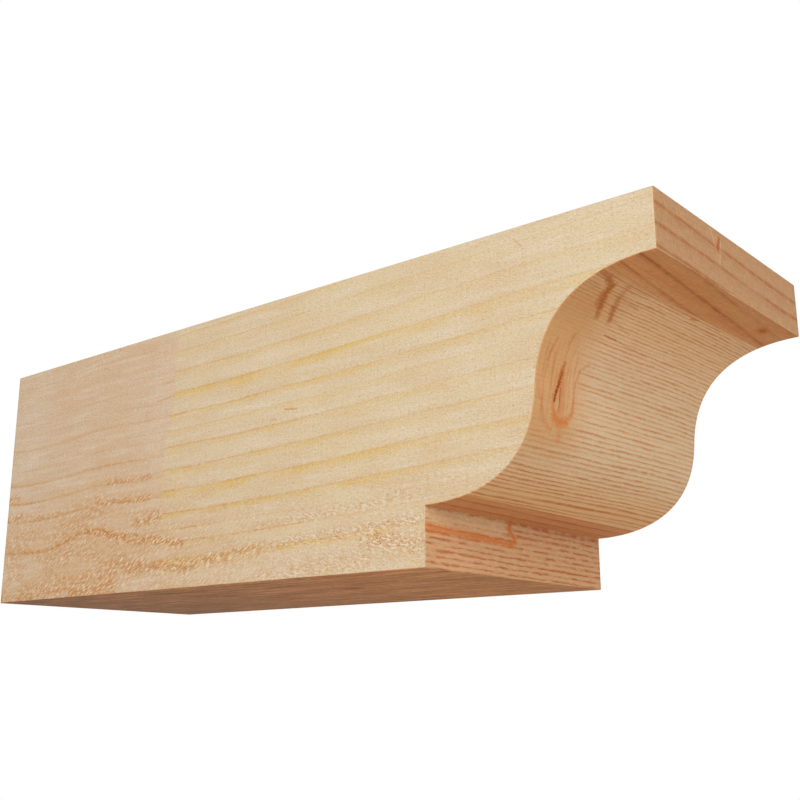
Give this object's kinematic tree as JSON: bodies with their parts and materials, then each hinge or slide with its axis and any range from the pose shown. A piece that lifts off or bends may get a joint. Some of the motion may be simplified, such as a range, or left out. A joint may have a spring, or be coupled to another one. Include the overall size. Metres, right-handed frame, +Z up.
{
  "type": "rafter tail",
  "caption": "Solid sawn rafter tail with a stepped heel, an S-curved ogee end and a low square nose; shows below an eave.",
  "frame": {"origin": "middle of the timber's length and width, at the level of its underside", "axes": "+X along the timber, out of the wall towards the carved nose; +Y across its width; +Z up, towards the top face that carries the roof boards"},
  "size_m": [0.4572, 0.1524, 0.146],
  "materials": {
    "sawn_timber": "matte"
  },
  "bodies": {
    "root": {"rafter_tail": "sawn_timber"}
  },
  "joints": []
}
